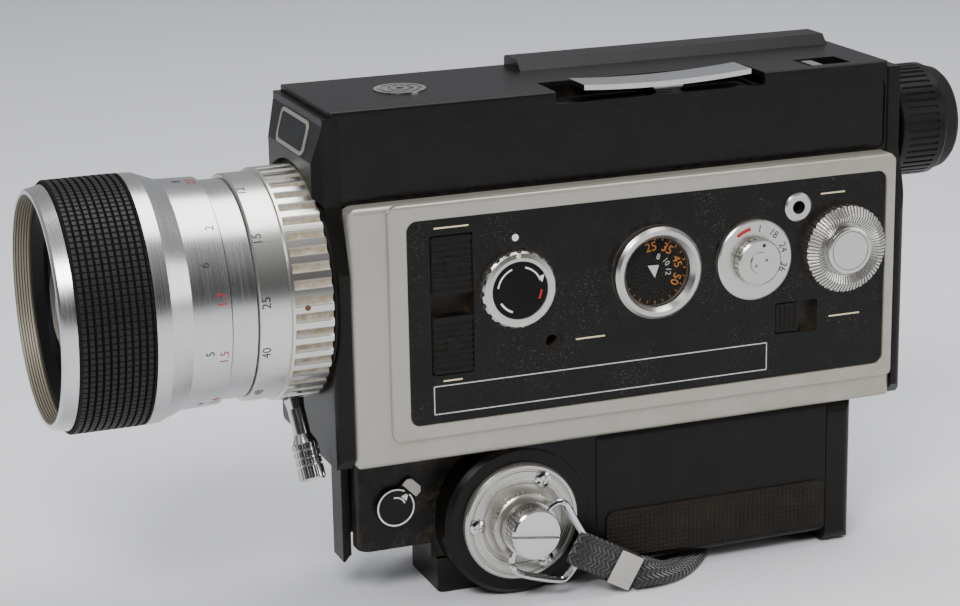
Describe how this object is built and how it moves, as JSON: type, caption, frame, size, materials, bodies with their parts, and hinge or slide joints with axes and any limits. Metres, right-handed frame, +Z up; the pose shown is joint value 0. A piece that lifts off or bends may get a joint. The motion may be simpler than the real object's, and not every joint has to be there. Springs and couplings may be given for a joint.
{
  "type": "cine camera",
  "caption": "Hand-held movie camera for cartridge film: zoom lens with rubber focus ring, control side panel, film door, eyepiece, trigger, folding battery grip with wrist strap",
  "frame": {"origin": "centre of the mouth of the tripod socket, on the plane the camera stands on", "axes": "+Z up, -X where the lens points, -Y the operating side with the controls, +Y the film door side"},
  "size_m": [0.2469, 0.0987, 0.1331],
  "materials": {
    "black_casting": "satin black paint on die casting, brown dust in the corners",
    "silver_cover": "satin silver paint, yellowed and dusty along the edges",
    "satin_chrome": "brushed satin chrome",
    "bright_chrome": "polished chrome",
    "gloss_black": "glossy black",
    "black_plastic": "matte black plastic",
    "grip_black": "satin moulded plastic",
    "grip_texture": "cross-hatched brown-black panel",
    "rubber": "matte black rubber",
    "lens_glass": "coated optical glass, violet reflection",
    "clear_glass": "clear acrylic",
    "dark_dial": "printed black dial",
    "steel": "machined steel",
    "brass": "cut brass",
    "nylon": "white nylon",
    "webbing": "woven black nylon webbing",
    "cell": "plain battery jacket",
    "ferrule_metal": "dull bent plate"
  },
  "bodies": {
    "body": {"chassis": "black_casting", "front_casting": "black_casting", "badge": "silver_cover", "side_cover": "silver_cover", "control_panel": "gloss_black", "upper_housing": "gloss_black", "top_plate": "black_casting", "light_socket": "satin_chrome", "rear_casting": "black_casting", "eyepiece_tube": "black_plastic", "lens_flange": "black_plastic", "lens_barrel": "satin_chrome", "rear_element": "lens_glass", "footage_bezel": "bright_chrome", "footage_glass": "clear_glass", "speed_plate": "satin_chrome", "remote_jack": "satin_chrome", "film_gate": "steel", "motor": "steel", "viewfinder_tube": "black_plastic", "keel": "black_casting", "tripod_block": "black_casting", "pivot_bolt": "steel"},
    "focus": {"focus_barrel": "satin_chrome", "focus_rubber": "rubber", "front_retainer": "black_plastic", "front_element": "lens_glass"},
    "zoom": {"zoom_ring": "satin_chrome", "zoom_lever": "bright_chrome"},
    "variator": {"variator_cell": "steel"},
    "eyepiece": {"diopter_ring": "black_plastic", "eyecup": "rubber", "eyepiece_lens": "lens_glass"},
    "rocker": {"zoom_rocker": "satin_chrome"},
    "battery_test_slider": {"top_slider": "satin_chrome"},
    "exposure_dial": {"auto_dial": "satin_chrome"},
    "footage": {"footage_dial": "dark_dial"},
    "speed": {"speed_knob": "satin_chrome"},
    "mode": {"mode_knob": "satin_chrome"},
    "backlight": {"backlight_button": "gloss_black"},
    "fade": {"fade_button": "gloss_black"},
    "zoom_speed": {"zoom_speed_switch": "gloss_black"},
    "door": {"film_door": "silver_cover"},
    "latch": {"door_latch": "black_plastic"},
    "takeup": {"takeup_spindle": "nylon"},
    "pinion": {"motor_pinion": "brass"},
    "shutter": {"shutter_disc": "steel"},
    "trigger_arm": {"trigger": "black_plastic"},
    "lock": {"lock_lever": "black_plastic"},
    "grip": {"grip_shell": "grip_black", "grip_pads": "grip_texture", "batteries": "cell", "clutch_disc": "satin_chrome", "disc_screws": "bright_chrome", "wire_loop": "bright_chrome", "strap_neck": "webbing", "strap_ferrule": "ferrule_metal", "strap_band": "webbing"},
    "cap": {"battery_cap": "grip_black"},
    "knob": {"strap_knob": "bright_chrome"}
  },
  "joints": [
    {"name": "focus_turn", "type": "hinge", "parent": "body", "child": "focus", "pos_m": [-0.085, 0, 0.0849], "axis": [1, 0, 0], "range_deg": [-90, 90]},
    {"name": "zoom_turn", "type": "hinge", "parent": "body", "child": "zoom", "pos_m": [-0.05, 0, 0.0849], "axis": [1, 0, 0], "range_deg": [-50, 40]},
    {"name": "variator_travel", "type": "slide", "parent": "body", "child": "variator", "axis": [1, 0, 0], "range_m": [-0.003, 0.0037]},
    {"name": "diopter_turn", "type": "hinge", "parent": "body", "child": "eyepiece", "pos_m": [0.125, 0, 0.1101], "axis": [1, 0, 0], "range_deg": [-60, 60]},
    {"name": "rocker_tilt", "type": "hinge", "parent": "body", "child": "rocker", "pos_m": [0.0525, -0.013, 0.1255], "axis": [0, 1, 0], "range_deg": [-4, 4], "stiffness_Nm_per_rad": 0.3},
    {"name": "test_slide", "type": "slide", "parent": "body", "child": "battery_test_slider", "axis": [1, 0, 0], "range_m": [0, 0.0045], "stiffness_N_per_m": 150},
    {"name": "exposure_turn", "type": "hinge", "parent": "body", "child": "exposure_dial", "pos_m": [0.00686, -0.0262, 0.08357], "axis": [0, 1, 0], "range_deg": [-150, 150]},
    {"name": "footage_turn", "type": "hinge", "parent": "body", "child": "footage", "pos_m": [0.04428, -0.0252, 0.08379], "axis": [0, 1, 0], "continuous": true},
    {"name": "speed_turn", "type": "hinge", "parent": "body", "child": "speed", "pos_m": [0.07177, -0.029, 0.0838], "axis": [0, 1, 0], "range_deg": [0, 120]},
    {"name": "mode_turn", "type": "hinge", "parent": "body", "child": "mode", "pos_m": [0.0972, -0.028, 0.0843], "axis": [0, 1, 0], "range_deg": [-45, 90]},
    {"name": "backlight_slide", "type": "slide", "parent": "body", "child": "backlight", "axis": [0, 0, 1], "range_m": [-0.0025, 0], "stiffness_N_per_m": 200},
    {"name": "fade_slide", "type": "slide", "parent": "body", "child": "fade", "axis": [0, 0, 1], "range_m": [0, 0.0025], "stiffness_N_per_m": 200},
    {"name": "zoom_speed_slide", "type": "slide", "parent": "body", "child": "zoom_speed", "axis": [1, 0, 0], "range_m": [0, 0.0045]},
    {"name": "door_hinge", "type": "hinge", "parent": "body", "child": "door", "pos_m": [-0.0338, 0.02365, 0.0745], "axis": [0, 0, 1], "range_deg": [0, 90]},
    {"name": "latch_slide", "type": "slide", "parent": "door", "child": "latch", "axis": [1, 0, 0], "range_m": [0, 0.0035]},
    {"name": "takeup_turn", "type": "hinge", "parent": "body", "child": "takeup", "pos_m": [0.066, -0.011, 0.075], "axis": [0, 1, 0], "continuous": true},
    {"name": "pinion_turn", "type": "hinge", "parent": "body", "child": "pinion", "pos_m": [0.10215, -0.011, 0.075], "axis": [0, 1, 0], "continuous": true},
    {"name": "shutter_turn", "type": "hinge", "parent": "body", "child": "shutter", "pos_m": [0.005, 0.0036, 0.0765], "axis": [1, 0, 0], "continuous": true},
    {"name": "trigger_pull", "type": "hinge", "parent": "body", "child": "trigger_arm", "pos_m": [-0.0324, 0, 0.0447], "axis": [0, -1, 0], "range_deg": [0, 5], "stiffness_Nm_per_rad": 0.6},
    {"name": "lock_turn", "type": "hinge", "parent": "body", "child": "lock", "pos_m": [-0.0217, -0.0119, 0.0256], "axis": [0, 1, 0], "range_deg": [0, 45]},
    {"name": "grip_fold", "type": "hinge", "parent": "body", "child": "grip", "pos_m": [0.009, 0, 0.0203], "axis": [0, 1, 0], "range_deg": [0, 90]},
    {"name": "cap_hinge", "type": "hinge", "parent": "grip", "child": "cap", "pos_m": [0.1006, 0.02215, 0.021], "axis": [0, 0, 1], "range_deg": [0, 110]},
    {"name": "knob_turn", "type": "hinge", "parent": "grip", "child": "knob", "pos_m": [0.009, -0.03, 0.0203], "axis": [0, 1, 0], "range_deg": [0, 180]}
  ],
  "couplings": [
    {"joint": "variator_travel", "follows": "zoom_turn", "m_per_rad": -0.004},
    {"joint": "pinion_turn", "follows": "takeup_turn", "ratio": -3.5},
    {"joint": "shutter_turn", "follows": "takeup_turn", "ratio": 7},
    {"joint": "footage_turn", "follows": "takeup_turn", "ratio": 0.1}
  ]
}
